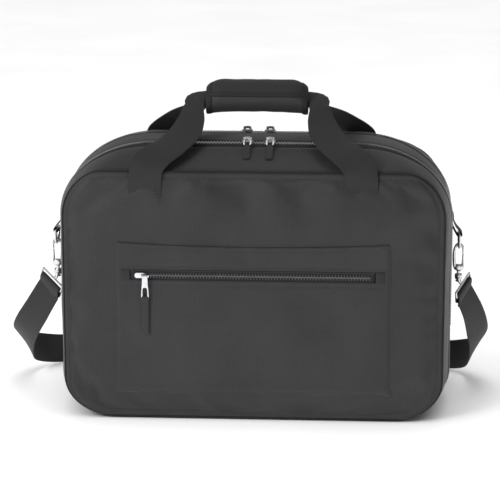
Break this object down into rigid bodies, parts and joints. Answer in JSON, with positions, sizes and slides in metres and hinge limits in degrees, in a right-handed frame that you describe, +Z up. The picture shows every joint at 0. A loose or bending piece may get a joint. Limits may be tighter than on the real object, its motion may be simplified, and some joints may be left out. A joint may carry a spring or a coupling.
{
  "type": "flight bag",
  "caption": "Padded rectangular cabin bag with rounded corners, zipped compartments, zipped front pocket, webbing handles in a wrap grip and a clip-on shoulder strap.",
  "frame": {"origin": "on the floor, under the middle of the bag's flat bottom", "axes": "+Z up, -Y towards the front pocket, +X to the right seen from the front; X is the bag's longest side"},
  "size_m": [0.6203, 0.2697, 0.411],
  "materials": {
    "plated_metal": "satin nickel plate",
    "board": "matt stiffener",
    "lining": "smooth lining cloth",
    "foam": "closed-cell foam",
    "fabric": "fine diamond twill, matt",
    "handle_webbing": "ribbed webbing",
    "grip_fabric": "fine twill, padded",
    "closure_tape": "hook and loop",
    "pull_tab_fabric": "folded webbing",
    "zip_tape": "woven tape",
    "pocket_zip_teeth": "black nickel",
    "strap_webbing": "ribbed webbing",
    "adjuster_plastic": "moulded",
    "zip_teeth": "bright moulded teeth"
  },
  "bodies": {
    "root": {"base_board": "board", "divider": "lining", "front_gusset_base": "fabric", "front_panel_base": "fabric", "grip_loop_tape": "closure_tape", "grip_pad": "grip_fabric", "mid_gusset": "fabric", "pocket_base": "fabric", "rear_foam": "foam", "rear_gusset": "fabric", "rear_handle": "handle_webbing", "rear_lining": "lining", "rear_panel": "fabric", "shoulder_strap": "strap_webbing", "side_tab_left": "strap_webbing", "side_tab_right": "strap_webbing", "strap_adjuster": "adjuster_plastic", "zip1_rear_tape": "zip_tape", "zip1_rear_teeth": "zip_teeth", "zip2_tapes": "zip_tape", "zip2_teeth": "zip_teeth"},
    "front_cover": {"front_gusset": "fabric", "front_panel": "fabric", "front_foam": "foam", "front_lining": "lining", "zip1_front_tape": "zip_tape", "zip1_front_teeth": "zip_teeth", "pocket": "fabric", "pocket_zip_tape": "zip_tape", "pocket_zip_teeth": "pocket_zip_teeth", "pocket_zip_stops": "fabric", "front_handle": "handle_webbing"},
    "grip_flap": {"grip_flap": "grip_fabric", "grip_hook_tape": "closure_tape"},
    "zip1_left_slider": {"zip1_left_slider": "plated_metal"},
    "zip1_left_puller": {"zip1_left_puller": "plated_metal", "zip1_left_tab": "pull_tab_fabric"},
    "zip1_right_slider": {"zip1_right_slider": "plated_metal"},
    "zip1_right_puller": {"zip1_right_puller": "plated_metal", "zip1_right_tab": "pull_tab_fabric"},
    "zip2_left_slider": {"zip2_left_slider": "plated_metal"},
    "zip2_left_puller": {"zip2_left_puller": "plated_metal", "zip2_left_tab": "pull_tab_fabric"},
    "zip2_right_slider": {"zip2_right_slider": "plated_metal"},
    "zip2_right_puller": {"zip2_right_puller": "plated_metal", "zip2_right_tab": "pull_tab_fabric"},
    "pocket_slider": {"pocket_slider": "plated_metal"},
    "pocket_puller": {"pocket_puller": "plated_metal"},
    "pocket_tab": {"pocket_tab": "pull_tab_fabric"},
    "d_ring_left": {"d_ring_left": "plated_metal", "bail_left": "plated_metal", "strap_end_left": "strap_webbing"},
    "hook_left": {"hook_left": "plated_metal"},
    "hook_gate_left": {"hook_gate_left": "plated_metal"},
    "d_ring_right": {"d_ring_right": "plated_metal", "bail_right": "plated_metal", "strap_end_right": "strap_webbing"},
    "hook_right": {"hook_right": "plated_metal"},
    "hook_gate_right": {"hook_gate_right": "plated_metal"}
  },
  "joints": [
    {"name": "front_cover_fold", "type": "hinge", "parent": "root", "child": "front_cover", "pos_m": [0, -0.11, 0.105], "axis": [1, 0, 0], "range_deg": [0, 60]},
    {"name": "grip_flap_fold", "type": "hinge", "parent": "root", "child": "grip_flap", "pos_m": [0, 0.01886, 0.40033], "axis": [-1, 0, 0], "range_deg": [0, 120]},
    {"name": "zip1_left_slide", "type": "slide", "parent": "root", "child": "zip1_left_slider", "axis": [-1, 0, 0], "range_m": [0, 0.105]},
    {"name": "zip1_left_pull", "type": "hinge", "parent": "zip1_left_slider", "child": "zip1_left_puller", "pos_m": [-0.01, -0.038, 0.34395], "axis": [-1, 0, 0], "range_deg": [0, 120]},
    {"name": "zip1_right_slide", "type": "slide", "parent": "root", "child": "zip1_right_slider", "axis": [1, 0, 0], "range_m": [0, 0.105]},
    {"name": "zip1_right_pull", "type": "hinge", "parent": "zip1_right_slider", "child": "zip1_right_puller", "pos_m": [0.018, -0.038, 0.34395], "axis": [-1, 0, 0], "range_deg": [0, 120]},
    {"name": "zip2_left_slide", "type": "slide", "parent": "root", "child": "zip2_left_slider", "axis": [-1, 0, 0], "range_m": [0, 0.105]},
    {"name": "zip2_left_pull", "type": "hinge", "parent": "zip2_left_slider", "child": "zip2_left_puller", "pos_m": [-0.0145, 0.038, 0.34395], "axis": [1, 0, 0], "range_deg": [0, 120]},
    {"name": "zip2_right_slide", "type": "slide", "parent": "root", "child": "zip2_right_slider", "axis": [1, 0, 0], "range_m": [0, 0.105]},
    {"name": "zip2_right_pull", "type": "hinge", "parent": "zip2_right_slider", "child": "zip2_right_puller", "pos_m": [0.0145, 0.038, 0.34395], "axis": [1, 0, 0], "range_deg": [0, 120]},
    {"name": "pocket_slide", "type": "slide", "parent": "front_cover", "child": "pocket_slider", "axis": [1, 0, 0], "range_m": [0, 0.274]},
    {"name": "pocket_pull", "type": "hinge", "parent": "pocket_slider", "child": "pocket_puller", "pos_m": [-0.131, -0.11545, 0.186], "axis": [-1, 0, 0], "range_deg": [0, 120]},
    {"name": "pocket_tab_swing", "type": "hinge", "parent": "pocket_puller", "child": "pocket_tab", "pos_m": [-0.131, -0.11483, 0.15651], "axis": [-1, 0, 0], "range_deg": [0, 60]},
    {"name": "d_ring_swing_left", "type": "hinge", "parent": "root", "child": "d_ring_left", "pos_m": [-0.254, 0, 0.218], "axis": [0, 1, 0], "range_deg": [0, 20]},
    {"name": "hook_swivel_left", "type": "hinge", "parent": "d_ring_left", "child": "hook_left", "pos_m": [-0.254, 0, 0.16], "axis": [0, 0, 1], "range_deg": [-30, 30]},
    {"name": "hook_gate_press_left", "type": "hinge", "parent": "hook_left", "child": "hook_gate_left", "pos_m": [-0.2592, 0, 0.1775], "axis": [0, 1, 0], "range_deg": [0, 20], "stiffness_Nm_per_rad": 0.01},
    {"name": "d_ring_swing_right", "type": "hinge", "parent": "root", "child": "d_ring_right", "pos_m": [0.254, 0, 0.218], "axis": [0, -1, 0], "range_deg": [0, 20]},
    {"name": "hook_swivel_right", "type": "hinge", "parent": "d_ring_right", "child": "hook_right", "pos_m": [0.254, 0, 0.16], "axis": [0, 0, 1], "range_deg": [-30, 30]},
    {"name": "hook_gate_press_right", "type": "hinge", "parent": "hook_right", "child": "hook_gate_right", "pos_m": [0.2592, 0, 0.1775], "axis": [0, -1, 0], "range_deg": [0, 20], "stiffness_Nm_per_rad": 0.01}
  ]
}
